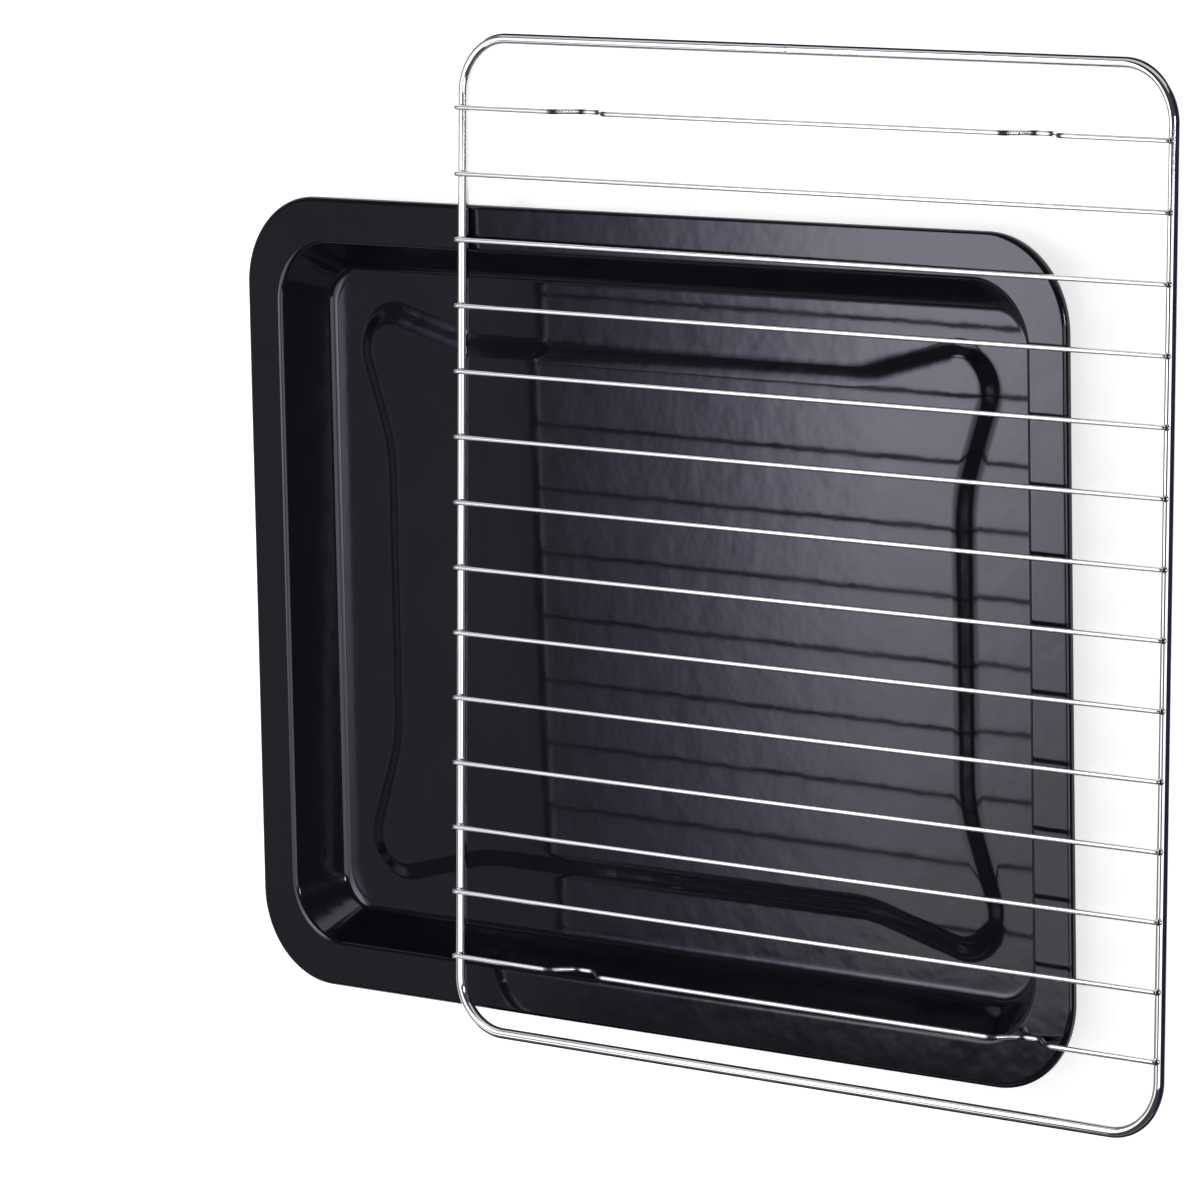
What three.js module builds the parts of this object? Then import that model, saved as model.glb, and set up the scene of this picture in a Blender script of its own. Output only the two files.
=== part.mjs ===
// Baking tray with a wire rack laid across its rim, in millimetres, +Z up.
// The tray stands on its base. The origin is the middle of the set's footprint, on the surface below it.
// The long side of the tray runs along X. The rack lies crosswise, with its long side along Y.
import * as THREE from "three";

// Tray: one sheet of steel, pressed and enamelled.
const TRAY_LENGTH = 400; // along X, over the rim
const TRAY_WIDTH = 314; // along Y, over the rim
const TRAY_DEPTH = 19; // rim's top face down to the floor's top face
const SHEET = 0.8; // steel with its enamel
const RIM_WIDTH = 17.5; // outer edge in to the top of the wall
const WALL_RUN = 11.5; // how far the wall leans in on its way down
const LIP_DROP = 3; // turned-down outer edge of the rim
const LIP_BEND = 1.8; // radius of that edge's bend, outside
const SHOULDER_RADIUS = 2.6; // rim into wall
const FLOOR_RADIUS = 4; // wall into floor
const RIM_CORNER = 35.5; // corner radii seen from above: at the outer edge,
const WALL_TOP_CORNER = 25; // at the top of the wall
const FLOOR_CORNER = 15; // and at the edge of the floor

// Raised panel pressed up in the floor, with an ear at each corner.
// Its outline is taken half-way up its slope.
const PANEL_END_MARGIN = 30.7; // floor's edge to the panel, at the tray's short ends
const PANEL_SIDE_MARGIN = 27.5; // the same along the tray's long sides
const PANEL_HEIGHT = 2.8;
const PANEL_SLOPE_RUN = 6.4;
const PANEL_SLOPE_RADIUS = 10; // foot and shoulder of the slope
const EAR_OUT_END = 12.6; // how far an ear stands out past the panel's short sides
const EAR_OUT_SIDE = 10.6; // and past its long sides
const EAR_RADIUS = 14.7;
const EAR_FLARE_LONG = 45; // length of side that the flare takes up, on the long sides
const EAR_FLARE_SHORT = 42.5; // and on the short sides
const EAR_FLARE_RADIUS = 60; // bend where the flare leaves the side

// Rack: a bent steel rod with cross wires welded on top, chrome-plated.
const RACK_LENGTH = 387.7; // along Y, over the frame rod
const RACK_WIDTH = 331.3; // along X, over the frame rod
const FRAME_ROD = 4.2; // diameter
const FRAME_CORNER = 21; // bend radius at the rod's centre line
const CROSS_WIRE = 2; // diameter
const CROSS_WIRE_COUNT = 14;
const BACK_SPACE = 26.6; // back rod to the first cross wire, centre to centre
const FRONT_SPACE = 28.5; // last cross wire to the front rod
const WIRE_END_SHORT = 1; // how far a cross wire's cut end stops short of the rod's outer side

// Feet: the first and the last cross wire dip down in two places.
const FOOT_SPACING = 209; // between the middles of the two dips
const FOOT_BASE = 24.5; // width of a dip at its top
const FOOT_FLAT = 8.5; // and at its bottom
const FOOT_DEPTH = 8.2; // at the wire's centre line
const FOOT_BEND = 2.6; // bend radius at the wire's centre line

// How the rack lies: pushed past two sides of the tray, and turned a little.
const RACK_PAST_END = 43.3; // right-hand rod's centre line past the tray's end
const RACK_PAST_SIDE = 62.9; // back rod's centre line past the tray's side
const RACK_TURN = THREE.MathUtils.degToRad(-0.43);
const SEAT_GAP = 0.3; // between pieces that bear on each other
const STEEPEST_LIE = THREE.MathUtils.degToRad(20); // no lie steeper than this is tried

// Facets
const CORNER_STEPS = 9;
const EAR_STEPS = 10;
const FLARE_STEPS = 4;
const LIP_STEPS = 3;
const SHOULDER_STEPS = 4;
const FLOOR_BEND_STEPS = 4;
const SLOPE_STEPS = 3;
const FOOT_BEND_STEPS = 4;
const ROD_SIDES = 16;
const WIRE_SIDES = 12;
const SAMPLE_STEP = 1; // along the rack, when its bearing points are looked for

const QUARTER = Math.PI / 2;
const enamel = { color: 0x23222a, roughness: 0.12, metalness: 0 };
const chrome = { color: 0xd4d6da, roughness: 0.14, metalness: 1 };

// A path is a list of stations, each with a point and the path's normal there.
// arc runs round a centre while the normal turns. A negative radius puts the centre on the normal's side.
function arc(centre, from, to, radius, steps) {
  const stations = [];
  for (let step = 0; step <= steps; step += 1) {
    const angle = THREE.MathUtils.lerp(from, to, step / steps);
    const normal = new THREE.Vector2(Math.cos(angle), Math.sin(angle));
    const point = centre.clone().addScaledVector(normal, radius);
    stations.push({ point, normal });
  }
  return stations;
}

// Rounded corner: corner is where the two straights would meet, and from and to are the directions
// of the normal before and after it.
function bend(corner, from, to, radius, steps) {
  const before = new THREE.Vector2(Math.cos(from), Math.sin(from));
  const after = new THREE.Vector2(Math.cos(to), Math.sin(to));
  const inward = before.clone().add(after).multiplyScalar(-radius / (1 + before.dot(after)));
  return arc(corner.clone().add(inward), from, to, radius, steps);
}

// Points of a path moved along its normals.
function offsetPoints(path, distance) {
  return path.map(({ point, normal }) => point.clone().addScaledVector(normal, distance));
}

// A quarter outline, from the +X side to the +Y side, mirrored into a whole one that runs anticlockwise.
function wholeOutline(quarter) {
  const mirror = (x, y) => ({ point, normal }) => ({
    point: new THREE.Vector2(point.x * x, point.y * y),
    normal: new THREE.Vector2(normal.x * x, normal.y * y),
  });
  return [
    ...quarter,
    ...quarter.map(mirror(-1, 1)).reverse(),
    ...quarter.map(mirror(-1, -1)),
    ...quarter.map(mirror(1, -1)).reverse(),
  ];
}

function roundedRectangle(halfX, halfY, radius) {
  return wholeOutline(bend(new THREE.Vector2(halfX, halfY), 0, QUARTER, radius, CORNER_STEPS));
}

// Outline of the tray at a distance in from its outer edge.
function trayOutline(inset) {
  const wallInset = inset - RIM_WIDTH;
  const onRim = THREE.MathUtils.clamp(inset / RIM_WIDTH, 0, 1);
  const onWall = THREE.MathUtils.clamp(wallInset / WALL_RUN, 0, 1);
  const wallCorner = THREE.MathUtils.lerp(WALL_TOP_CORNER, FLOOR_CORNER, onWall);
  const corner = wallInset < 0 ? THREE.MathUtils.lerp(RIM_CORNER, WALL_TOP_CORNER, onRim) : wallCorner;
  return roundedRectangle(TRAY_LENGTH / 2 - inset, TRAY_WIDTH / 2 - inset, corner);
}

// Direction of the normal of the line that leaves start and passes the ear's arc on its outer side.
function tangentNormal(start, centre, radius, side) {
  const toCentre = centre.clone().sub(start);
  const heading = Math.atan2(toCentre.y, toCentre.x);
  const lift = Math.asin(radius / toCentre.length());
  return heading + side * (QUARTER + lift);
}

// Outline of the raised panel: straight sides that flare out into a round ear at each corner.
function panelOutline() {
  const floorInset = RIM_WIDTH + WALL_RUN;
  const halfX = TRAY_LENGTH / 2 - floorInset - PANEL_END_MARGIN;
  const halfY = TRAY_WIDTH / 2 - floorInset - PANEL_SIDE_MARGIN;
  const ear = new THREE.Vector2(halfX + EAR_OUT_END - EAR_RADIUS, halfY + EAR_OUT_SIDE - EAR_RADIUS);
  const shortFlare = new THREE.Vector2(halfX, halfY - EAR_FLARE_SHORT);
  const longFlare = new THREE.Vector2(halfX - EAR_FLARE_LONG, halfY);
  const earFrom = tangentNormal(shortFlare, ear, EAR_RADIUS, -1);
  const earTo = tangentNormal(longFlare, ear, EAR_RADIUS, 1);
  return wholeOutline([
    ...bend(shortFlare, 0, earFrom, -EAR_FLARE_RADIUS, FLARE_STEPS),
    ...arc(ear, earFrom, earTo, EAR_RADIUS, EAR_STEPS),
    ...bend(longFlare, earTo, QUARTER, -EAR_FLARE_RADIUS, FLARE_STEPS),
  ]);
}

// Section of the rim and the wall: x is the distance in from the outer edge, y the height above
// the rim's top face.
function wallSection() {
  const fall = Math.atan2(TRAY_DEPTH, WALL_RUN);
  const wallTop = new THREE.Vector2(RIM_WIDTH, 0);
  const wallFoot = new THREE.Vector2(RIM_WIDTH + WALL_RUN, -TRAY_DEPTH);
  const outward = new THREE.Vector2(-1, 0);
  return [
    { point: new THREE.Vector2(0, -LIP_DROP), normal: outward },
    ...bend(new THREE.Vector2(0, 0), 2 * QUARTER, QUARTER, LIP_BEND, LIP_STEPS),
    ...bend(wallTop, QUARTER, QUARTER - fall, SHOULDER_RADIUS, SHOULDER_STEPS),
    ...bend(wallFoot, QUARTER - fall, QUARTER, -FLOOR_RADIUS, FLOOR_BEND_STEPS),
  ];
}

// Section of the panel's slope: x is the distance in from the panel's outline.
function slopeSection() {
  const rise = Math.atan2(PANEL_HEIGHT, PANEL_SLOPE_RUN);
  const foot = new THREE.Vector2(-PANEL_SLOPE_RUN / 2, -TRAY_DEPTH);
  const shoulder = new THREE.Vector2(PANEL_SLOPE_RUN / 2, PANEL_HEIGHT - TRAY_DEPTH);
  return [
    ...bend(foot, QUARTER, QUARTER + rise, -PANEL_SLOPE_RADIUS, SLOPE_STEPS),
    ...bend(shoulder, QUARTER + rise, QUARTER, PANEL_SLOPE_RADIUS, SLOPE_STEPS),
  ];
}

// Closed body that is put together from rings of points.
class Body {
  vertices = [];
  triangles = [];

  // Adds a ring of 3D points and returns the numbers of its vertices.
  ring(points) {
    const first = this.vertices.length;
    this.vertices.push(...points);
    return points.map((_, i) => first + i);
  }

  // Band from one ring to the next. It faces up where the rings run anticlockwise and go inward.
  band(outer, inner) {
    outer.forEach((a, i) => {
      const next = (i + 1) % outer.length;
      this.triangles.push([a, outer[next], inner[next]], [a, inner[next], inner[i]]);
    });
  }

  // Flat face inside a ring, with or without a hole, in the plane that flatten gives the points in.
  face(outer, hole, flatten) {
    const numbers = [...outer, ...hole];
    const flat = (ring) => ring.map((i) => flatten(this.vertices[i]));
    const faces = THREE.ShapeUtils.triangulateShape(flat(outer), hole.length ? [flat(hole)] : []);
    this.triangles.push(...faces.map((face) => face.map((i) => numbers[i])));
  }

  // Turns the triangles added since mark to face the other way.
  flipFrom(mark) {
    this.triangles.slice(mark).forEach((triangle) => triangle.reverse());
  }

  mesh(name, finish) {
    const geometry = new THREE.BufferGeometry().setFromPoints(this.vertices);
    geometry.setIndex(this.triangles.flat());
    geometry.computeVertexNormals();
    const mesh = new THREE.Mesh(geometry, new THREE.MeshStandardMaterial(finish));
    mesh.name = name;
    return mesh;
  }
}

// One face of the tray's sheet, from the lip to the middle of the floor.
// Returns the ring at the lip's edge.
function addTrayFace(body, depthInSheet) {
  const fromAbove = (vertex) => new THREE.Vector2(vertex.x, vertex.y);
  const rimTop = SHEET + TRAY_DEPTH;
  const ringAt = (outline, height) =>
    body.ring(outline.map((point) => new THREE.Vector3(point.x, point.y, rimTop + height)));
  const wallRings = offsetPoints(wallSection(), -depthInSheet).map((place) =>
    ringAt(offsetPoints(trayOutline(place.x), 0), place.y));
  const panel = panelOutline();
  const slopeRings = offsetPoints(slopeSection(), -depthInSheet).map((place) =>
    ringAt(offsetPoints(panel, -place.x), place.y));
  wallRings.slice(1).forEach((ring, i) => body.band(wallRings[i], ring));
  body.face(wallRings.at(-1), slopeRings[0], fromAbove);
  slopeRings.slice(1).forEach((ring, i) => body.band(slopeRings[i], ring));
  body.face(slopeRings.at(-1), [], fromAbove);
  return wallRings[0];
}

function makeTray() {
  const body = new Body();
  const lipOutside = addTrayFace(body, 0);
  const underside = body.triangles.length;
  const lipInside = addTrayFace(body, SHEET);
  body.band(lipOutside, lipInside);
  body.flipFrom(underside);
  return body.mesh("tray_pan", enamel);
}

// Round rod along a path that lies in a plane. place gives the 3D point for a distance along the plane's
// first and second directions and off the plane. A path that isn't closed gets two flat ends.
function makeRod(name, path, diameter, sides, closed, place) {
  const body = new Body();
  const around = [];
  for (let side = 0; side < sides; side += 1) {
    const angle = (2 * Math.PI * side) / sides;
    around.push(new THREE.Vector2(Math.cos(angle), Math.sin(angle)).multiplyScalar(diameter / 2));
  }
  const rings = path.map(({ point, normal }) =>
    body.ring(around.map(({ x, y }) => place(point.x + normal.x * x, point.y + normal.y * x, y))));
  const followers = closed ? [...rings.slice(1), rings[0]] : rings.slice(1);
  followers.forEach((ring, i) => body.band(rings[i], ring));
  if (!closed) {
    for (let side = 1; side < sides - 1; side += 1) {
      const fan = [0, side, side + 1];
      body.triangles.push(fan.map((i) => rings[0][i]).reverse(), fan.map((i) => rings.at(-1)[i]));
    }
  }
  return body.mesh(name, chrome);
}

const frameHalfX = (RACK_WIDTH - FRAME_ROD) / 2;
const frameHalfY = (RACK_LENGTH - FRAME_ROD) / 2;
const wireHeight = FRAME_ROD / 2 + SEAT_GAP + CROSS_WIRE / 2; // centre line above the frame's
const wireHalf = RACK_WIDTH / 2 - WIRE_END_SHORT;
const wirePitch = (2 * frameHalfY - BACK_SPACE - FRONT_SPACE) / (CROSS_WIRE_COUNT - 1);

function framePath() {
  return roundedRectangle(frameHalfX, frameHalfY, FRAME_CORNER);
}

// Centre line of a cross wire from end to end: x along the wire, y its height. The normal points up.
function wirePath(hasFeet) {
  const up = new THREE.Vector2(0, 1);
  const end = (x) => ({ point: new THREE.Vector2(x, 0), normal: up });
  const leg = Math.atan2(FOOT_DEPTH, (FOOT_BASE - FOOT_FLAT) / 2);
  const dip = (middle) => {
    const corner = (x, height, from, to, radius) =>
      bend(new THREE.Vector2(middle + x, height), QUARTER + from, QUARTER + to, radius, FOOT_BEND_STEPS);
    return [
      ...corner(-FOOT_BASE / 2, 0, 0, -leg, FOOT_BEND),
      ...corner(-FOOT_FLAT / 2, -FOOT_DEPTH, -leg, 0, -FOOT_BEND),
      ...corner(FOOT_FLAT / 2, -FOOT_DEPTH, 0, leg, -FOOT_BEND),
      ...corner(FOOT_BASE / 2, 0, leg, 0, FOOT_BEND),
    ];
  };
  const dips = hasFeet ? [...dip(-FOOT_SPACING / 2), ...dip(FOOT_SPACING / 2)] : [];
  return [end(-wireHalf), ...dips, end(wireHalf)];
}

const wirePlace = (number) => frameHalfY - BACK_SPACE - number * wirePitch;
const wireHasFeet = (number) => number === 0 || number === CROSS_WIRE_COUNT - 1;

function makeRack() {
  const rack = new THREE.Group();
  const flat = (x, y, off) => new THREE.Vector3(x, y, -off);
  rack.add(makeRod("rack_frame", framePath(), FRAME_ROD, ROD_SIDES, true, flat));
  for (let number = 0; number < CROSS_WIRE_COUNT; number += 1) {
    const upright = (x, z, off) => new THREE.Vector3(x, wirePlace(number) - off, wireHeight + z);
    const name = `cross_wire_${String(number + 1).padStart(2, "0")}`;
    rack.add(makeRod(name, wirePath(wireHasFeet(number)), CROSS_WIRE, WIRE_SIDES, false, upright));
  }
  return rack;
}

// Where the rack's middle lies on the tray, seen from above.
const rackMiddle = new THREE.Vector2(
  TRAY_LENGTH / 2 + RACK_PAST_END - frameHalfX,
  TRAY_WIDTH / 2 + RACK_PAST_SIDE - frameHalfY,
);

// Distance of a point from a rounded rectangle, negative inside.
function distanceFrom(point, halfX, halfY, radius) {
  const x = Math.abs(point.x) - halfX + radius;
  const y = Math.abs(point.y) - halfY + radius;
  return Math.hypot(Math.max(x, 0), Math.max(y, 0)) + Math.min(Math.max(x, y), 0) - radius;
}

// Whether a point of the rack, seen from above, is over the tray's rim or wall.
function overRim(point) {
  const floorInset = RIM_WIDTH + WALL_RUN;
  const fromEdge = distanceFrom(point, TRAY_LENGTH / 2, TRAY_WIDTH / 2, RIM_CORNER);
  const fromFloor = distanceFrom(
    point, TRAY_LENGTH / 2 - floorInset, TRAY_WIDTH / 2 - floorInset, FLOOR_CORNER);
  return fromEdge < FRAME_ROD / 2 && fromFloor > -CROSS_WIRE / 2;
}

// Underside of the rack's rods and wires as lines of points, in the rack's own frame.
function rackUndersides() {
  const frame = framePath().map(({ point }) => new THREE.Vector3(point.x, point.y, -FRAME_ROD / 2));
  const lines = [[...frame, frame[0]]];
  for (let number = 0; number < CROSS_WIRE_COUNT; number += 1) {
    const height = wireHeight - CROSS_WIRE / 2;
    lines.push(wirePath(wireHasFeet(number)).map(({ point }) =>
      new THREE.Vector3(point.x, wirePlace(number), height + point.y)));
  }
  return lines;
}

// Places over the rim where the rack can bear: x and y on the tray, and z the least height there
// of the rack's middle plane above the rim.
// On a straight only the two ends of a stretch over the rim count.
function bearingPoints() {
  const points = [];
  for (const line of rackUndersides()) {
    for (let i = 1; i < line.length; i += 1) {
      const steps = Math.ceil(line[i].distanceTo(line[i - 1]) / SAMPLE_STEP);
      const over = [];
      for (let step = 0; step <= steps; step += 1) {
        const place = line[i - 1].clone().lerp(line[i], step / steps);
        const seen = new THREE.Vector2(place.x, place.y).rotateAround(new THREE.Vector2(), RACK_TURN);
        seen.add(rackMiddle);
        over.push(overRim(seen) ? new THREE.Vector3(seen.x, seen.y, SEAT_GAP - place.z) : null);
      }
      points.push(...over.filter((point, k) => point && !(over[k - 1] && over[k + 1])));
    }
  }
  return points;
}

// The rack is only laid on the rim, so it tips until three of those places bear.
// Of all planes through three of them that clear the rest, that is the one on which its middle lies lowest.
function restingPlane() {
  const points = bearingPoints();
  const heightAt = ({ normal, constant }, x, y) => -(normal.x * x + normal.y * y + constant) / normal.z;
  const rounding = 1e-6;
  let rest = null;
  let lowest = Infinity;
  for (let i = 2; i < points.length; i += 1) {
    for (let j = 1; j < i; j += 1) {
      for (let k = 0; k < j; k += 1) {
        const plane = new THREE.Plane().setFromCoplanarPoints(points[i], points[j], points[k]);
        const gentle = Math.abs(plane.normal.z) > Math.cos(STEEPEST_LIE);
        const height = heightAt(plane, rackMiddle.x, rackMiddle.y);
        const clears = (point) => heightAt(plane, point.x, point.y) > point.z - rounding;
        if (gentle && height < lowest && points.every(clears)) {
          rest = plane;
          lowest = height;
        }
      }
    }
  }
  const normal = rest.normal.clone().multiplyScalar(Math.sign(rest.normal.z));
  return { normal, height: lowest };
}

function layRack(rack) {
  const up = new THREE.Vector3(0, 0, 1);
  const { normal, height } = restingPlane();
  const turn = new THREE.Quaternion().setFromAxisAngle(up, RACK_TURN);
  rack.quaternion.setFromUnitVectors(up, normal).multiply(turn);
  rack.position.set(rackMiddle.x, rackMiddle.y, SHEET + TRAY_DEPTH + height);
}

const bakingSet = new THREE.Group();
const rack = makeRack();
layRack(rack);
bakingSet.add(makeTray(), rack);

// The origin goes to the middle of the footprint.
const footprint = new THREE.Box3().setFromObject(bakingSet, true);
const middle = footprint.getCenter(new THREE.Vector3());
bakingSet.position.set(-middle.x, -middle.y, -footprint.min.z);
bakingSet.updateMatrixWorld(true);

export default bakingSet;
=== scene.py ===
import math

import bmesh
import bpy
from mathutils import Matrix, Vector, noise


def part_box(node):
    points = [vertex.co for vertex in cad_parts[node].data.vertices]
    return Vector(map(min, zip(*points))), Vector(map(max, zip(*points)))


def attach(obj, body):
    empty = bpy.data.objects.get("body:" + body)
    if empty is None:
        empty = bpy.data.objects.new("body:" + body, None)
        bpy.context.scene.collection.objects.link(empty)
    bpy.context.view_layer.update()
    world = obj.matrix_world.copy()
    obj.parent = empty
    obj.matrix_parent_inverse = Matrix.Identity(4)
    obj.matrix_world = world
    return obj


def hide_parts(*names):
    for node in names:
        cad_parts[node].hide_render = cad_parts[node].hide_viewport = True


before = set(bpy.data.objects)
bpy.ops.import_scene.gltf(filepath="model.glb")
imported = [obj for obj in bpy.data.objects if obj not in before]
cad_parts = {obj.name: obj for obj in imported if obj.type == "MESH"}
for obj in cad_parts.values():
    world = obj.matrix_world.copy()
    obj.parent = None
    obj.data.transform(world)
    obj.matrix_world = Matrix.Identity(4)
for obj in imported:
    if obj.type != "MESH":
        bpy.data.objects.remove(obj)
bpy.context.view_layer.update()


# Tray
# One sheet of steel, pressed in one stroke into a rim, leaning walls and a raised panel with an
# ear at each corner. Its edge is turned down and trimmed, and black enamel is fired on all over.

MM = 0.001
SHEET = 0.8
RIM_WIDTH = 17.5
WALL_RUN = 11.5
LIP_DROP = 3
LIP_BEND = 1.8
SHOULDER_RADIUS = 2.6
FLOOR_RADIUS = 4
RIM_CORNER = 35.5
WALL_TOP_CORNER = 25
FLOOR_CORNER = 15

PANEL_END_MARGIN = 30.7
PANEL_SIDE_MARGIN = 27.5
PANEL_HEIGHT = 2.8
PANEL_SLOPE_RUN = 6.4
PANEL_SLOPE_RADIUS = 10
EAR_OUT_END = 12.6
EAR_OUT_SIDE = 10.6
EAR_RADIUS = 14.7
EAR_FLARE_LONG = 45
EAR_FLARE_SHORT = 42.5
EAR_FLARE_RADIUS = 60

QUARTER = math.pi / 2
QUARTER_STEPS = 90          # points round a quarter of the tray's outline
TURN_WEIGHT = 40            # how much closer together the points lie in a corner, in mm per radian
BEND_STEPS = 10
FLAT_STEPS = 8
PANEL_STEPS = 22
PANEL_MIDDLE = 0.04         # the innermost ring, as a share of the panel

PRESS_WAVE = 0.03           # how far the fired sheet strays from flat
PRESS_WAVE_LENGTH = 75

tray_low, tray_high = (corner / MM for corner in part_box("tray_pan"))
tray_middle = (tray_low + tray_high) / 2
half_length = (tray_high.x - tray_low.x) / 2
half_width = (tray_high.y - tray_low.y) / 2
rim_top = tray_high.z
floor_top = tray_low.z + SHEET
wall_fall = math.atan2(rim_top - floor_top, WALL_RUN)
wall_foot = RIM_WIDTH + WALL_RUN


def direction(angle):
    return Vector((math.cos(angle), math.sin(angle)))


def arc(centre, start, end, radius, steps=BEND_STEPS):
    """Points round a centre, each with its normal, which turns from one angle to the other."""
    normals = [direction(start + (end - start) * step / steps) for step in range(steps + 1)]
    return [(centre + normal * radius, normal) for normal in normals]


def bend(corner, start, end, radius, steps=BEND_STEPS):
    """A corner rounded off between two straight lines, given by the angles of their normals.
    A negative radius bends towards the normals."""
    before, after = direction(start), direction(end)
    centre = corner - (before + after) * radius / (1 + before.dot(after))
    return arc(centre, start, end, radius, steps)


def eased(steps):
    """Shares from 0 to 1 without both ends, close together near them."""
    shares = [step / steps for step in range(1, steps)]
    return [share * share * (3 - 2 * share) for share in shares]


def fill_flats(section, longest=1.5, margin=0.4):
    """The section with more points on its flats, the outer ones close to the bends, so that a bend's
    shading doesn't run into the flat beside it."""
    filled = [section[0]]
    for (point, normal), (next_point, next_normal) in zip(section, section[1:]):
        length = (next_point - point).length
        if length > longest:
            inner = [margin + (length - 2 * margin) * step / FLAT_STEPS for step in range(FLAT_STEPS + 1)]
            filled += [(point.lerp(next_point, reach / length), normal) for reach in inner]
        filled.append((next_point, next_normal))
    return filled


def spread(quarter):
    """A quarter outline with a set count of points, evenly spread and closer where it turns."""
    reach = [0]
    for (point, normal), (next_point, next_normal) in zip(quarter, quarter[1:]):
        turn = normal.angle(next_normal)
        reach.append(reach[-1] + (next_point - point).length + TURN_WEIGHT * turn)
    points = []
    piece = 0
    for step in range(QUARTER_STEPS + 1):
        target = reach[-1] * step / QUARTER_STEPS
        while piece < len(quarter) - 2 and reach[piece + 1] < target:
            piece += 1
        share = (target - reach[piece]) / (reach[piece + 1] - reach[piece])
        (point, normal), (next_point, next_normal) = quarter[piece], quarter[piece + 1]
        points.append((point.lerp(next_point, share), normal.lerp(next_normal, share).normalized()))
    return points


def whole_outline(quarter):
    """A quarter outline mirrored into a closed one, each point with its outward normal."""
    forward, backward = quarter[:-1], quarter[:0:-1]
    corners = [(forward, 1, 1), (backward, -1, 1), (forward, -1, -1), (backward, 1, -1)]
    return [
        (Vector((point.x * side_x, point.y * side_y)), Vector((normal.x * side_x, normal.y * side_y)))
        for run, side_x, side_y in corners
        for point, normal in run
    ]


def whole_ring(quarter, inset, height):
    """The closed outline of a quarter, drawn in by the inset, as points of the tray."""
    return [Vector((*(point - normal * inset), height)) for point, normal in whole_outline(quarter)]


def rectangle_quarter(half_x, half_y, radius):
    corner = bend(Vector((half_x, half_y)), 0, QUARTER, radius, steps=4 * BEND_STEPS)
    return [(Vector((half_x, 0)), direction(0)), *corner, (Vector((0, half_y)), direction(QUARTER))]


def tray_ring(inset, height):
    """The tray's outline that far in from its rim, whose corners tighten from the rim to the floor."""
    down_wall = min(max((inset - RIM_WIDTH) / WALL_RUN, 0), 1)
    over_rim = min(max(inset / RIM_WIDTH, 0), 1)
    radius = RIM_CORNER + (WALL_TOP_CORNER - RIM_CORNER) * over_rim
    radius += (FLOOR_CORNER - WALL_TOP_CORNER) * down_wall
    quarter = rectangle_quarter(half_length - inset, half_width - inset, radius)
    return whole_ring(spread(quarter), 0, height)


def ear_line_normal(corner, ear, side):
    """The normal of the line from a flare's corner that just touches the round ear."""
    to_ear = ear - corner
    lean = QUARTER + math.asin(EAR_RADIUS / to_ear.length)
    return math.atan2(to_ear.y, to_ear.x) + side * lean


def panel_quarter():
    half_x = half_length - wall_foot - PANEL_END_MARGIN
    half_y = half_width - wall_foot - PANEL_SIDE_MARGIN
    ear = Vector((half_x + EAR_OUT_END - EAR_RADIUS, half_y + EAR_OUT_SIDE - EAR_RADIUS))
    end_flare = Vector((half_x, half_y - EAR_FLARE_SHORT))
    side_flare = Vector((half_x - EAR_FLARE_LONG, half_y))
    ear_start = ear_line_normal(end_flare, ear, -1)
    ear_end = ear_line_normal(side_flare, ear, 1)
    return [
        (Vector((half_x, 0)), direction(0)),
        *bend(end_flare, 0, ear_start, -EAR_FLARE_RADIUS, steps=2 * BEND_STEPS),
        *arc(ear, ear_start, ear_end, EAR_RADIUS, steps=4 * BEND_STEPS),
        *bend(side_flare, ear_end, QUARTER, -EAR_FLARE_RADIUS, steps=2 * BEND_STEPS),
        (Vector((0, half_y)), direction(QUARTER)),
    ]


def tray_face(depth):
    """Rings of one face of the sheet, from its edge to the middle: depth 0 is the upper face."""
    lean = QUARTER - wall_fall
    wall = fill_flats([
        (Vector((0, SHEET / 2 - LIP_DROP)), direction(math.pi)),
        *bend(Vector((0, 0)), math.pi, QUARTER, LIP_BEND),
        *bend(Vector((RIM_WIDTH, 0)), QUARTER, lean, SHOULDER_RADIUS),
        *bend(Vector((wall_foot, floor_top - rim_top)), lean, QUARTER, -FLOOR_RADIUS),
    ])
    rise = QUARTER + math.atan2(PANEL_HEIGHT, PANEL_SLOPE_RUN)
    slope = fill_flats([
        *bend(Vector((-PANEL_SLOPE_RUN / 2, 0)), QUARTER, rise, -PANEL_SLOPE_RADIUS),
        *bend(Vector((PANEL_SLOPE_RUN / 2, PANEL_HEIGHT)), rise, QUARTER, PANEL_SLOPE_RADIUS),
    ])
    wall = [point - normal * depth for point, normal in wall]
    slope = [point - normal * depth for point, normal in slope]
    wall_rings = [tray_ring(point.x, rim_top + point.y) for point in wall]
    panel = spread(panel_quarter())
    slope_rings = [whole_ring(panel, point.x, floor_top + point.y) for point in slope]
    floor_rings = [
        [outer.lerp(inner, share) for outer, inner in zip(wall_rings[-1], slope_rings[0])]
        for share in eased(FLAT_STEPS)
    ]
    sizes = [1 - (1 - PANEL_MIDDLE) * (step / PANEL_STEPS) ** 2 for step in range(1, PANEL_STEPS + 1)]
    panel_rings = [
        [Vector((point.x * size, point.y * size, point.z)) for point in slope_rings[-1]]
        for size in sizes
    ]
    return wall_rings + floor_rings + slope_rings + panel_rings


def press_wave(x, y):
    """How far the sheet lies above or below flat: pressing and firing leave it faintly uneven."""
    return PRESS_WAVE * noise.noise(Vector((x, y, 0)) / PRESS_WAVE_LENGTH)


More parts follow.
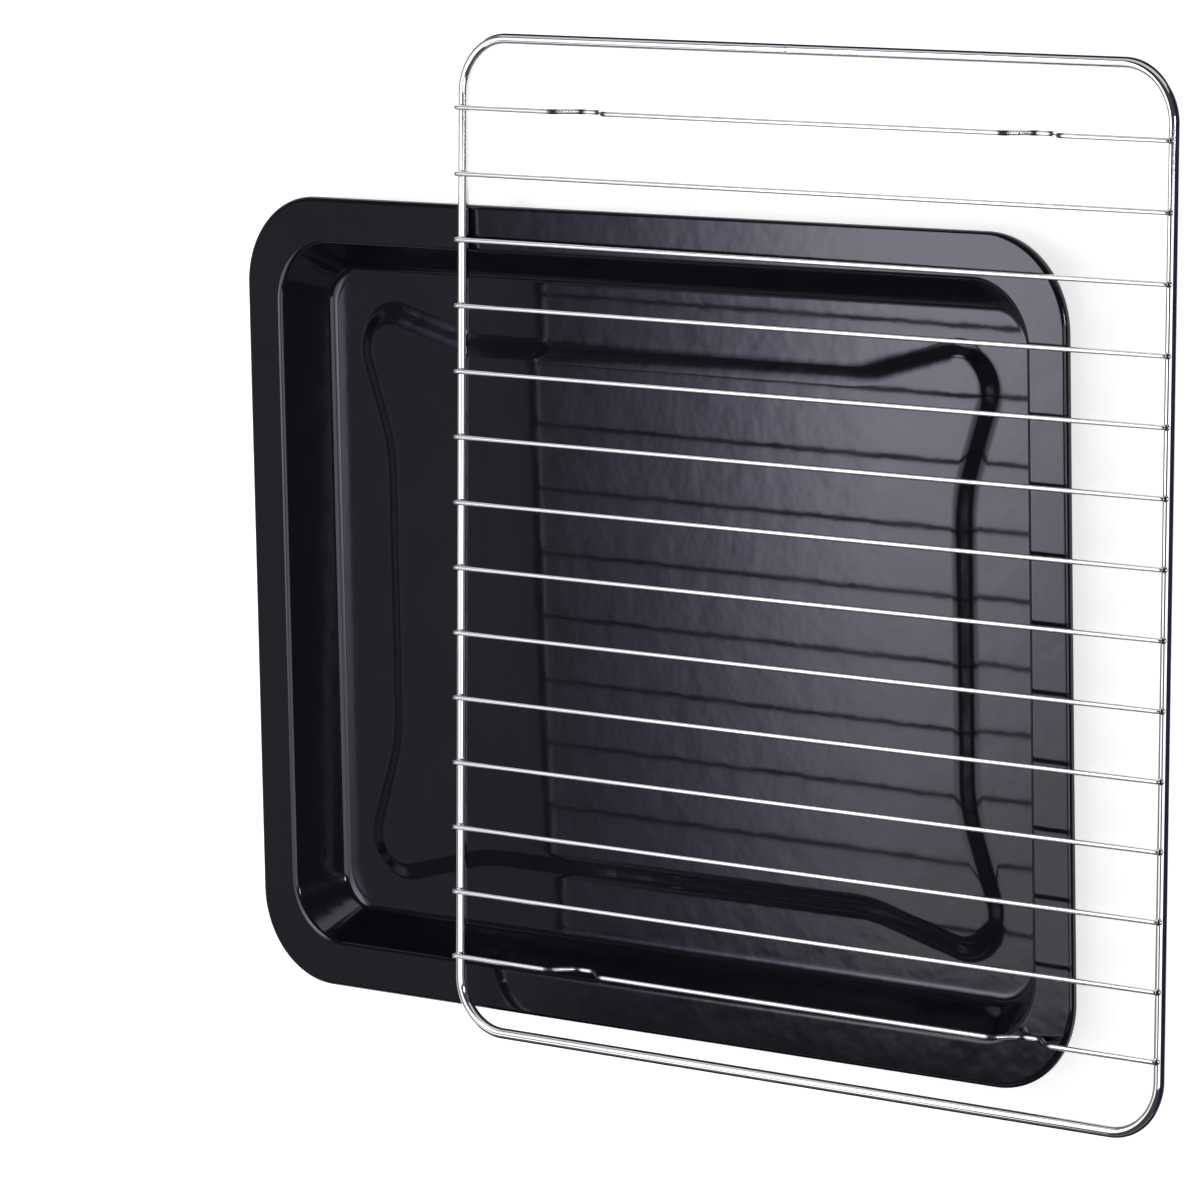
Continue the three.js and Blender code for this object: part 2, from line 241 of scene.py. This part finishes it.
def add_skin(bm, rings, closed=False):
    """Faces between rings of the same count of points. An open skin is capped at both ends, and the
    two caps are returned."""
    loops = [[bm.verts.new(point) for point in ring] for ring in rings]
    following = loops[1:] + loops[:1] if closed else loops[1:]
    for loop, after in zip(loops, following):
        for here in range(len(loop)):
            there = (here + 1) % len(loop)
            bm.faces.new((loop[here], loop[there], after[there], after[here]))
    return [] if closed else [bm.faces.new(loops[0]), bm.faces.new(loops[-1])]


def add_piece(name, bm, *materials):
    bmesh.ops.recalc_face_normals(bm, faces=bm.faces)
    mesh = bpy.data.meshes.new(name)
    bm.to_mesh(mesh)
    bm.free()
    mesh.shade_smooth()
    for material in materials:
        mesh.materials.append(material)
    piece = bpy.data.objects.new(name, mesh)
    bpy.context.collection.objects.link(piece)
    return piece


def linear(hex_colour):
    """An sRGB hex colour as linear red, green, blue and alpha."""
    shares = [int(hex_colour[place:place + 2], 16) / 255 for place in (1, 3, 5)]
    parts = [s / 12.92 if s <= 0.04045 else ((s + 0.055) / 1.055) ** 2.4 for s in shares]
    return (*parts, 1)


def new_material(name):
    material = bpy.data.materials.new(name)
    material.use_nodes = True
    material.node_tree.nodes.clear()
    return material


def add_node(owner, kind, inputs=None, **settings):
    """Adds a node to a material or world: an input is a value, or the output that feeds it."""
    node = owner.node_tree.nodes.new(kind)
    for name, value in settings.items():
        setattr(node, name, value)
    for socket, value in (inputs or {}).items():
        if isinstance(value, bpy.types.NodeSocket):
            owner.node_tree.links.new(value, node.inputs[socket])
        else:
            node.inputs[socket].default_value = value
    return node


def per_metre(millimetres):
    """A texture's scale for a pattern that repeats after that many millimetres."""
    return 1 / (millimetres * MM)


# Vitreous enamel, fused to the steel: deep black glass that mirrors the room, with the faint
# ripple of a glaze that has run, a bluish cast, and cloudy traces of wiping in its gloss.
enamel = new_material("black_vitreous_enamel")
enamel_place = add_node(enamel, "ShaderNodeTexCoord").outputs["Object"]
enamel_cloud = add_node(
    enamel, "ShaderNodeTexNoise",
    {"Vector": enamel_place, "Scale": per_metre(55), "Detail": 3},
)
enamel_colour = add_node(
    enamel, "ShaderNodeMix",
    {"Factor": enamel_cloud.outputs["Fac"], "A": linear("#0a090e"), "B": linear("#110f16")},
    data_type="RGBA",
)
wiped = add_node(
    enamel, "ShaderNodeTexNoise",
    {"Vector": enamel_place, "Scale": per_metre(28), "Detail": 5, "Distortion": 0.6},
)
enamel_gloss = add_node(
    enamel, "ShaderNodeMapRange",
    {"Value": wiped.outputs["Fac"], "From Min": 0.3, "From Max": 0.7, "To Min": 0.1, "To Max": 0.14},
)
glaze_ripple = add_node(
    enamel, "ShaderNodeTexNoise",
    {"Vector": enamel_place, "Scale": per_metre(12), "Detail": 2},
)
glaze_relief = add_node(
    enamel, "ShaderNodeBump",
    {"Height": glaze_ripple.outputs["Fac"], "Strength": 1, "Distance": 0.12 * MM},
)
# The violet tint of its reflections is painted light: it stands in for violet light in the room.
enamel_glass = add_node(
    enamel, "ShaderNodeBsdfPrincipled",
    {
        "Base Color": enamel_colour.outputs["Result"],
        "Roughness": enamel_gloss.outputs["Result"],
        "Normal": glaze_relief.outputs["Normal"],
        "IOR": 1.5,
        "Specular Tint": linear("#f1eeff"),
    },
)
add_node(enamel, "ShaderNodeOutputMaterial", {"Surface": enamel_glass.outputs["BSDF"]})

edge_round = arc(Vector((SHEET / 2, SHEET / 2 - LIP_DROP)), 4 * QUARTER, 2 * QUARTER, SHEET / 2)
edge_rings = [tray_ring(point.x, rim_top + point.y) for point, normal in edge_round[1:-1]]
tray_rings = tray_face(SHEET)[::-1] + edge_rings + tray_face(0)
tray_bm = bmesh.new()
add_skin(tray_bm, [
    [
        Vector((
            tray_middle.x + point.x,
            tray_middle.y + point.y,
            point.z + press_wave(point.x, point.y),
        )) * MM
        for point in ring
    ]
    for ring in tray_rings
])
tray = add_piece("tray", tray_bm, enamel)
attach(tray, "tray")
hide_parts("tray_pan")


# Rack rod
# A steel rod bent at four corners into a loop, its two ends butt-welded, and plated together with
# the cross wires that are welded on top of it.

FRAME_CORNER = 21
ROD_SIDES = 32
CROSS_WIRES = 14
BUTT_WELD_X = -6.4          # where the rod's ends meet, along the back
BUTT_WELD_LONG = 5          # half the length of the bead, whose middle stands proud of the rod
BUTT_WELD_PROUD = 0.08
BEAD_SIDES = 20
BEAD_RINGS = 12


def node_points(node):
    return [vertex.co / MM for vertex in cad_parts[node].data.vertices]


def mean(points):
    return sum(points, Vector((0, 0, 0))) / len(points)


def wire_node(number):
    return f"cross_wire_{number:02d}"


def rack_frame_place():
    """Where the rack lies: X runs along its cross wires and Y from the front wire to the back one."""
    low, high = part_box("rack_frame")
    straight = node_points(wire_node(2))
    middle = mean(straight)
    right_end = mean([point for point in straight if point.x > middle.x])
    left_end = mean([point for point in straight if point.x < middle.x])
    x_axis = (right_end - left_end).normalized()
    to_back = middle - mean(node_points(wire_node(CROSS_WIRES - 1)))
    z_axis = x_axis.cross(to_back).normalized()
    y_axis = z_axis.cross(x_axis)
    turn = Matrix((x_axis, y_axis, z_axis)).transposed().to_4x4()
    return Matrix.Translation((low + high) / 2 / MM) @ turn


rack_place = rack_frame_place()
into_rack = rack_place.inverted()
frame_points = [into_rack @ point for point in node_points("rack_frame")]
rod_radius = max(point.z for point in frame_points)
frame_half_x = max(point.x for point in frame_points) - rod_radius
frame_half_y = max(point.y for point in frame_points) - rod_radius


def sweep(path, radius, sides, place):
    """Rings round a flat path of points and normals. Each ring has its own radius, and place turns
    the path's two coordinates and the height above its plane into the rack's."""
    rings = []
    for (point, normal), ring_radius in zip(path, radius):
        ring = []
        for side in range(sides):
            round_wire = direction(4 * QUARTER * side / sides) * ring_radius
            flat = point + normal * round_wire.x
            ring.append(place(flat.x, flat.y, round_wire.y))
        rings.append(ring)
    return rings


# All the rack's pieces, for the lamps that light nothing else.
rack_pieces = bpy.data.collections.new("rack_pieces")


def rack_piece(name, bm, nodes, *materials):
    """A finished piece of the rack, moved from the rack's own frame to where it lies."""
    bmesh.ops.scale(bm, vec=(MM, MM, MM), verts=bm.verts)
    piece = add_piece(name, bm, *materials)
    place = rack_place.copy()
    place.translation *= MM
    piece.matrix_world = place
    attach(piece, "rack")
    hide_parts(*nodes)
    rack_pieces.objects.link(piece)


def add_bead(bm, middle, half_sizes):
    """The smooth lump of metal that a weld squeezes out."""
    place = Matrix.Translation(middle) @ Matrix.Diagonal((*half_sizes, 1))
    bmesh.ops.create_uvsphere(
        bm, u_segments=BEAD_SIDES, v_segments=BEAD_RINGS, radius=1, matrix=place,
    )


# Bright chrome over polished wire: a hard mirror without a colour of its own, a little cloudy where
# the plating is thin, with fine ripples left along the steel by drawing it through a die. Where the
# wire is bent sharply, it is painted dark grey as a painted dark reflection, and it is duller there.
chrome = new_material("bright_chrome_plate")
chrome_place = add_node(chrome, "ShaderNodeTexCoord").outputs["Object"]
plate_cloud = add_node(
    chrome, "ShaderNodeTexNoise",
    {"Vector": chrome_place, "Scale": per_metre(14), "Detail": 4},
)
chrome_colour = add_node(
    chrome, "ShaderNodeMix",
    {"Factor": plate_cloud.outputs["Fac"], "A": linear("#c9c9c9"), "B": linear("#dcdbda")},
    data_type="RGBA",
)
chrome_gloss = add_node(
    chrome, "ShaderNodeMapRange",
    {"Value": plate_cloud.outputs["Fac"], "From Min": 0.3, "From Max": 0.7, "To Min": 0.06, "To Max": 0.1},
)
# Painted shade at the bends: the colour is mixed towards dark grey where the wire bends.
pressed = add_node(chrome, "ShaderNodeAttribute", attribute_name="pressed").outputs["Fac"]
bend_shade_colour = add_node(
    chrome, "ShaderNodeMix",
    {"Factor": pressed, "A": chrome_colour.outputs["Result"], "B": linear("#47484b")},
    data_type="RGBA",
)
bend_gloss = add_node(
    chrome, "ShaderNodeMix",
    {"Factor": pressed, "A": chrome_gloss.outputs["Result"], "B": 0.3},
)
drawing_ripple = add_node(
    chrome, "ShaderNodeTexNoise",
    {"Vector": chrome_place, "Scale": per_metre(2.5), "Detail": 2},
)
chrome_relief = add_node(
    chrome, "ShaderNodeBump",
    {"Height": drawing_ripple.outputs["Fac"], "Strength": 1, "Distance": 0.006 * MM},
)
chrome_metal = add_node(
    chrome, "ShaderNodeBsdfPrincipled",
    {
        "Base Color": bend_shade_colour.outputs["Result"],
        "Metallic": 1,
        "Roughness": bend_gloss.outputs["Result"],
        "Normal": chrome_relief.outputs["Normal"],
    },
)
add_node(chrome, "ShaderNodeOutputMaterial", {"Surface": chrome_metal.outputs["BSDF"]})

rod_path = whole_outline(fill_flats(rectangle_quarter(frame_half_x, frame_half_y, FRAME_CORNER)))
rod_rings = sweep(
    rod_path, [rod_radius] * len(rod_path), ROD_SIDES, lambda x, y, height: Vector((x, y, height))
)
rod_bm = bmesh.new()
add_skin(rod_bm, rod_rings, closed=True)
butt_weld_radius = rod_radius + BUTT_WELD_PROUD
add_bead(
    rod_bm, (BUTT_WELD_X, frame_half_y, 0), (BUTT_WELD_LONG, butt_weld_radius, butt_weld_radius)
)
rack_piece("rack_rod", rod_bm, ["rack_frame"], chrome)


# Cross wires
# Fourteen lengths of thinner steel wire, sheared off and spot-welded on top of the rod at both
# ends. The back and front ones are each pressed down in two places to make the rack's feet.

CROSS_WIRE = 2
FOOT_SPACING = 209
FOOT_BASE = 24.5
FOOT_FLAT = 8.5
FOOT_DEPTH = 8.2
FOOT_BEND = 2.6
WIRE_SIDES = 24
SHEARED_EDGE = 0.3          # rounding left on the cut end by tumbling and plating
WELD_LONG = 1.7             # half sizes of the metal squeezed out of a spot weld
WELD_WIDE = 1.35
WELD_HIGH = 0.6
SHADED_BEND_TURN = math.radians(3)      # a wire that turns this much between two rings was bent in the press and gets painted shade
BEND_SHADE_FADE = 1.6                  # how far the painted shade runs out beside a bend

# The face where a wire was sheared off: rough, so that it takes only a dull, bluish grey plating.
cut_steel = new_material("sheared_steel_end")
cut_place = add_node(cut_steel, "ShaderNodeTexCoord").outputs["Object"]
shear_marks = add_node(
    cut_steel, "ShaderNodeTexNoise",
    {"Vector": cut_place, "Scale": per_metre(0.5), "Detail": 3},
)
cut_colour = add_node(
    cut_steel, "ShaderNodeMix",
    {"Factor": shear_marks.outputs["Fac"], "A": linear("#3d4150"), "B": linear("#6a7080")},
    data_type="RGBA",
)
cut_relief = add_node(
    cut_steel, "ShaderNodeBump",
    {"Height": shear_marks.outputs["Fac"], "Strength": 1, "Distance": 0.05 * MM},
)
cut_metal = add_node(
    cut_steel, "ShaderNodeBsdfPrincipled",
    {
        "Base Color": cut_colour.outputs["Result"],
        "Metallic": 1,
        "Roughness": 0.45,
        "Normal": cut_relief.outputs["Normal"],
    },
)
add_node(cut_steel, "ShaderNodeOutputMaterial", {"Surface": cut_metal.outputs["BSDF"]})

wire_radius = CROSS_WIRE / 2
straight_wire = [into_rack @ point for point in node_points(wire_node(2))]
wire_half = max(point.x for point in straight_wire)
wire_height = mean(straight_wire).z
weld_height = (rod_radius + wire_height - wire_radius) / 2
tip_radii = [wire_radius - SHEARED_EDGE, wire_radius - SHEARED_EDGE / 3]


def foot_dip(middle):
    """One foot, from left to right: down a leg, along the flat that stands on the table, and up."""
    leg = math.atan2(FOOT_DEPTH, (FOOT_BASE - FOOT_FLAT) / 2)
    left, right = middle - FOOT_BASE / 2, middle + FOOT_BASE / 2
    flat_left, flat_right = middle - FOOT_FLAT / 2, middle + FOOT_FLAT / 2
    return [
        *bend(Vector((left, 0)), QUARTER, QUARTER - leg, FOOT_BEND),
        *bend(Vector((flat_left, -FOOT_DEPTH)), QUARTER - leg, QUARTER, -FOOT_BEND),
        *bend(Vector((flat_right, -FOOT_DEPTH)), QUARTER, QUARTER + leg, -FOOT_BEND),
        *bend(Vector((right, 0)), QUARTER + leg, QUARTER, FOOT_BEND),
    ]


def wire_path(has_feet):
    up = direction(QUARTER)
    ends = [wire_half, wire_half - SHEARED_EDGE / 3, wire_half - SHEARED_EDGE]
    start = [(Vector((-x, 0)), up) for x in ends]
    feet = foot_dip(-FOOT_SPACING / 2) + foot_dip(FOOT_SPACING / 2) if has_feet else []
    finish = [(Vector((x, 0)), up) for x in ends[::-1]]
    return fill_flats(start + feet + finish, margin=BEND_SHADE_FADE)


def mark_bends(bm, path):
    """Marks the rings where the path turns, for the painted shade and the duller chrome there."""
    pressed_layer = bm.verts.layers.float["pressed"]
    bm.verts.ensure_lookup_table()
    for ring in range(1, len(path) - 1):
        turn = path[ring - 1][1].angle(path[ring + 1][1])
        for vertex in bm.verts[ring * WIRE_SIDES:(ring + 1) * WIRE_SIDES]:
            vertex[pressed_layer] = 1 if turn > SHADED_BEND_TURN else 0


for number in range(1, CROSS_WIRES + 1):
    has_feet = number in (1, CROSS_WIRES)
    wire_y = mean([into_rack @ point for point in node_points(wire_node(number))]).y
    path = wire_path(has_feet)
    radii = tip_radii + [wire_radius] * (len(path) - 2 * len(tip_radii)) + tip_radii[::-1]
    wire_bm = bmesh.new()
    wire_bm.verts.layers.float.new("pressed")
    cut_ends = add_skin(wire_bm, sweep(
        path, radii, WIRE_SIDES,
        lambda x, height, across: Vector((x, wire_y + across, wire_height + height)),
    ))
    for cut_end in cut_ends:
        cut_end.material_index = 1
    mark_bends(wire_bm, path)
    for side in (-1, 1):
        add_bead(wire_bm, (side * frame_half_x, wire_y, weld_height), (WELD_LONG, WELD_WIDE, WELD_HIGH))
    rack_piece(f"wire_{number:02d}", wire_bm, [wire_node(number)], chrome, cut_steel)


# Floor
# A wide sheet of matt white board that the set stands on. The camera and the chrome see it as
# white, and it still takes the soft shadow of the tray and the rack.

FLOOR_HALF = 10000
FLOOR_GLOW = 0.72

board = new_material("matt_white_board")
board_rays = add_node(board, "ShaderNodeLightPath").outputs
seen_in_mirror = add_node(
    board, "ShaderNodeMath",
    {0: board_rays["Is Glossy Ray"], 1: board_rays["Is Transmission Ray"]}, operation="MAXIMUM",
)
seen = add_node(
    board, "ShaderNodeMath",
    {0: board_rays["Is Camera Ray"], 1: seen_in_mirror.outputs["Value"]}, operation="MAXIMUM",
)
board_glow = add_node(
    board, "ShaderNodeMath",
    {0: seen.outputs["Value"], 1: FLOOR_GLOW}, operation="MULTIPLY",
)
board_face = add_node(
    board, "ShaderNodeBsdfPrincipled",
    {
        "Base Color": linear("#f0f0f0"),
        "Roughness": 0.9,
        "Specular IOR Level": 0,
        "Emission Color": linear("#ffffff"),
        "Emission Strength": board_glow.outputs["Value"],
    },
)
add_node(board, "ShaderNodeOutputMaterial", {"Surface": board_face.outputs["BSDF"]})

floor_bm = bmesh.new()
floor_reach = FLOOR_HALF * MM
floor_corners = [(-1, -1), (1, -1), (1, 1), (-1, 1)]
floor_bm.faces.new([floor_bm.verts.new((x * floor_reach, y * floor_reach, 0)) for x, y in floor_corners])
floor = add_piece("floor", floor_bm, board)


# Studio light
# A cloth-covered soft box over the left side, whose glow the right part of the tray mirrors. Smaller
# boxes and pale walls stand round it, some of them for the rack or the tray alone. Low dark cards
# edge the chrome, and a plain fill lifts the shadows.

KEY_BOX_HEIGHT = 700
KEY_BOX_LEFT, KEY_BOX_RIGHT = -645, 60
KEY_BOX_FRONT, KEY_BOX_BACK = -315, 600
KEY_BOX_PEAK = 5
LEFT_DIM, LEFT_BRIGHT = -606, -458          # where the cloth's glow rises from its left edge
LEFT_GLOW = 0.4
RIGHT_WAY = (1, 0.5, 0)                     # the way in which the glow falls to the right and the back
RIGHT_BRIGHT, RIGHT_DARK = -150, 60
FRONT_WAY = (-0.7, 1, 0)                    # the way in which it rises from the front and the right
FRONT_DIM, FRONT_BRIGHT = 35, 290
FRONT_GLOW = 0.34
FLAG_GAP = 11                               # from the middle of the rod
RIGHT_FLAG_TOP = 8.5                        # above the middle of the rod
LOW_FLAG_TOP = 3
ROOM_GLOW = 0.08

rim_centre = Vector((tray_middle.x, tray_middle.y, rim_top))
daylight = "#f8f8fb"

# The front cloth of a soft box with a lamp behind it: white where the lamp is near, dim and a little
# violet towards the left, dimmer to the front, and dark at the right.
box_cloth = new_material("soft_box_cloth")
cloth_point = add_node(box_cloth, "ShaderNodeTexCoord").outputs["Object"]
cloth_place = add_node(box_cloth, "ShaderNodeSeparateXYZ", {"Vector": cloth_point})
rise_from_left = add_node(
    box_cloth, "ShaderNodeMapRange",
    {
        "Value": cloth_place.outputs["X"],
        "From Min": LEFT_DIM * MM,
        "From Max": LEFT_BRIGHT * MM,
        "To Min": LEFT_GLOW,
    },
)
right_reach = add_node(
    box_cloth, "ShaderNodeVectorMath",
    {0: cloth_point, 1: RIGHT_WAY}, operation="DOT_PRODUCT",
)
fall_to_right = add_node(
    box_cloth, "ShaderNodeMapRange",
    {"Value": right_reach.outputs["Value"], "From Min": RIGHT_DARK * MM, "From Max": RIGHT_BRIGHT * MM},
    interpolation_type="SMOOTHSTEP",
)
front_reach = add_node(
    box_cloth, "ShaderNodeVectorMath",
    {0: cloth_point, 1: FRONT_WAY}, operation="DOT_PRODUCT",
)
rise_from_front = add_node(
    box_cloth, "ShaderNodeMapRange",
    {
        "Value": front_reach.outputs["Value"],
        "From Min": FRONT_DIM * MM,
        "From Max": FRONT_BRIGHT * MM,
        "To Min": FRONT_GLOW,
    },
)
cloth_left = add_node(
    box_cloth, "ShaderNodeMath",
    {0: rise_from_left.outputs["Result"], 1: 2}, operation="POWER",
)
cloth_across = add_node(
    box_cloth, "ShaderNodeMath",
    {0: cloth_left.outputs["Value"], 1: fall_to_right.outputs["Result"]}, operation="MULTIPLY",
)
cloth_glow = add_node(
    box_cloth, "ShaderNodeMath",
    {0: cloth_across.outputs["Value"], 1: rise_from_front.outputs["Result"]}, operation="MULTIPLY",
)
cloth_strength = add_node(
    box_cloth, "ShaderNodeMath",
    {0: cloth_glow.outputs["Value"], 1: KEY_BOX_PEAK}, operation="MULTIPLY",
)
cloth_colour = add_node(
    box_cloth, "ShaderNodeMix",
    {"Factor": rise_from_left.outputs["Result"], "A": linear("#dccbff"), "B": linear(daylight)},
    data_type="RGBA",
)
cloth_light = add_node(
    box_cloth, "ShaderNodeEmission",
    {"Color": cloth_colour.outputs["Result"], "Strength": cloth_strength.outputs["Value"]},
)
add_node(box_cloth, "ShaderNodeOutputMaterial", {"Surface": cloth_light.outputs["Emission"]})

key_bm = bmesh.new()
key_corners = [
    (KEY_BOX_LEFT, KEY_BOX_FRONT), (KEY_BOX_RIGHT, KEY_BOX_FRONT),
    (KEY_BOX_RIGHT, KEY_BOX_BACK), (KEY_BOX_LEFT, KEY_BOX_BACK),
]
key_bm.faces.new([key_bm.verts.new(Vector((x, y, KEY_BOX_HEIGHT)) * MM) for x, y in key_corners])
key_box = add_piece("key_soft_box", key_bm, box_cloth)
key_box.location = rim_centre * MM
key_box.visible_camera = False
key_box.visible_shadow = False


def add_soft_box(name, place, aim, width, height, strength):
    """A rectangular lamp that the camera can't see. Places and sizes are in mm from the rim's middle."""
    lamp = bpy.data.lights.new(name, "AREA")
    lamp.shape = "RECTANGLE"
    lamp.size, lamp.size_y = width * MM, height * MM
    lamp.color = linear(daylight)[:3]
    lamp.energy = strength * math.pi * lamp.size * lamp.size_y
    box = bpy.data.objects.new(name, lamp)
    box.location = (rim_centre + Vector(place)) * MM
    box.rotation_euler = (Vector(place) - Vector(aim)).to_track_quat("Z", "Y").to_euler()
    box.visible_camera = False
    bpy.context.collection.objects.link(box)
    return box


add_soft_box(
    "left_board", place=(-1157, -255, 760), aim=(-1157, -255, 0),
    width=923, height=791, strength=0.23,
)
add_soft_box(
    "camera_soft_box", place=(1549, -416, 2312), aim=(-330, -416, 0),
    width=1000, height=2064, strength=2.2,
)
add_soft_box(
    "left_wall", place=(-1600, 0, 320), aim=(0, 0, 320),
    width=3200, height=640, strength=0.34,
)
add_soft_box(
    "front_wall", place=(0, -1600, 320), aim=(0, 0, 320),
    width=3200, height=640, strength=0.15,
)
add_soft_box(
    "right_wall", place=(1600, 0, 110), aim=(0, 0, 110),
    width=3200, height=220, strength=0.5,
)

# A small, strong lamp that shows only where a surface mirrors it.
bare_lamp = add_soft_box(
    "bare_lamp", place=(1090, 254, 703), aim=(-180, -121, 0),
    width=180, height=180, strength=30,
)
bare_lamp.visible_diffuse = False

# Lamps for the chrome, which leave the tray's dark enamel alone.
rack_lamps = [
    add_soft_box(
        "front_soft_box", place=(-700, -640, 700), aim=(-700, -640, 0),
        width=640, height=420, strength=1.8,
    ),
    add_soft_box(
        "back_soft_box", place=(-790, 250, 690), aim=(-790, 250, 0),
        width=460, height=700, strength=1.3,
    ),
    add_soft_box(
        "back_wall", place=(0, 1600, 700), aim=(0, 0, 700),
        width=3200, height=1400, strength=0.8,
    ),
]
for rack_lamp in rack_lamps:
    rack_lamp.light_linking.receiver_collection = rack_pieces

# A board behind the tray that only the tray mirrors, as the glow in its front left corner.
tray_pieces = bpy.data.collections.new("tray_pieces")
tray_pieces.objects.link(tray)
corner_board = add_soft_box(
    "corner_board", place=(324, 1395, 200), aim=(-170, -127, 200),
    width=1290, height=310, strength=1.5,
)
corner_board.light_linking.receiver_collection = tray_pieces

# The fill shows in no mirror.
fill = add_soft_box(
    "overhead_fill", place=(0, 0, 1600), aim=(0, 0, 0),
    width=2400, height=2400, strength=0.4,
)
fill.visible_glossy = False

# Dark blue card, which studios stand beside chrome to give its edges a dark line.
flag_card = new_material("dark_blue_card")
flag_face = add_node(
    flag_card, "ShaderNodeBsdfPrincipled",
    {"Base Color": linear("#3c4060"), "Roughness": 0.9, "Specular IOR Level": 0},
)
add_node(flag_card, "ShaderNodeOutputMaterial", {"Surface": flag_face.outputs["BSDF"]})


def add_flag(name, start, end, top):
    """A low card that stands on the floor beside the rack. Its upper edge has its ends and height in
    the rack's own frame, and it shows in mirrors only."""
    upper = [rack_place @ Vector((*point, top)) for point in (start, end)]
    lower = [Vector((point.x, point.y, 0)) for point in upper[::-1]]
    bm = bmesh.new()
    bm.faces.new([bm.verts.new(point * MM) for point in upper + lower])
    flag = add_piece(name, bm, flag_card)
    flag.visible_camera = False
    flag.visible_diffuse = False
    flag.visible_shadow = False


flag_x, flag_y = frame_half_x + FLAG_GAP, frame_half_y + FLAG_GAP
add_flag("right_flag", (flag_x, -flag_y), (flag_x, flag_y), RIGHT_FLAG_TOP)
add_flag("front_flag", (-flag_x, -flag_y), (flag_x, -flag_y), LOW_FLAG_TOP)
add_flag("back_flag", (-flag_x, flag_y), (flag_x, flag_y), LOW_FLAG_TOP)

world = bpy.data.worlds.new("dim_studio")
world.use_nodes = True
world.node_tree.nodes.clear()
dim_room = add_node(world, "ShaderNodeBackground", {"Color": linear(daylight), "Strength": ROOM_GLOW})
add_node(world, "ShaderNodeOutputWorld", {"Surface": dim_room.outputs["Background"]})
bpy.context.scene.world = world


# Camera
# It stands where the photograph was taken from, high on the right, with a long lens. Its picture
# keeps the colours of the light as they are, without a film curve.

CAMERA_FROM = (1581.9, 363.6, 1885.3)       # from the middle of the tray's rim
CAMERA_AIM = (-20.15, 8.94, 0)
CAMERA_ROLL = math.radians(-1.106)
LENS = 197.3
SENSOR = 36
FAR_CLIP = 100000

lens = bpy.data.cameras.new("camera")
lens.sensor_width = SENSOR
lens.lens = LENS
lens.clip_end = FAR_CLIP * MM
camera = bpy.data.objects.new("camera", lens)
back = (Vector(CAMERA_FROM) - Vector(CAMERA_AIM)).normalized()
right = Vector((0, 1, 0)).cross(back).normalized()
turned = Matrix((right, back.cross(right), back)).transposed().to_4x4()
camera.matrix_world = (
    Matrix.Translation((rim_centre + Vector(CAMERA_FROM)) * MM)
    @ turned
    @ Matrix.Rotation(CAMERA_ROLL, 4, "Z")
)
bpy.context.collection.objects.link(camera)
bpy.context.scene.camera = camera
bpy.context.scene.view_settings.view_transform = "Standard"
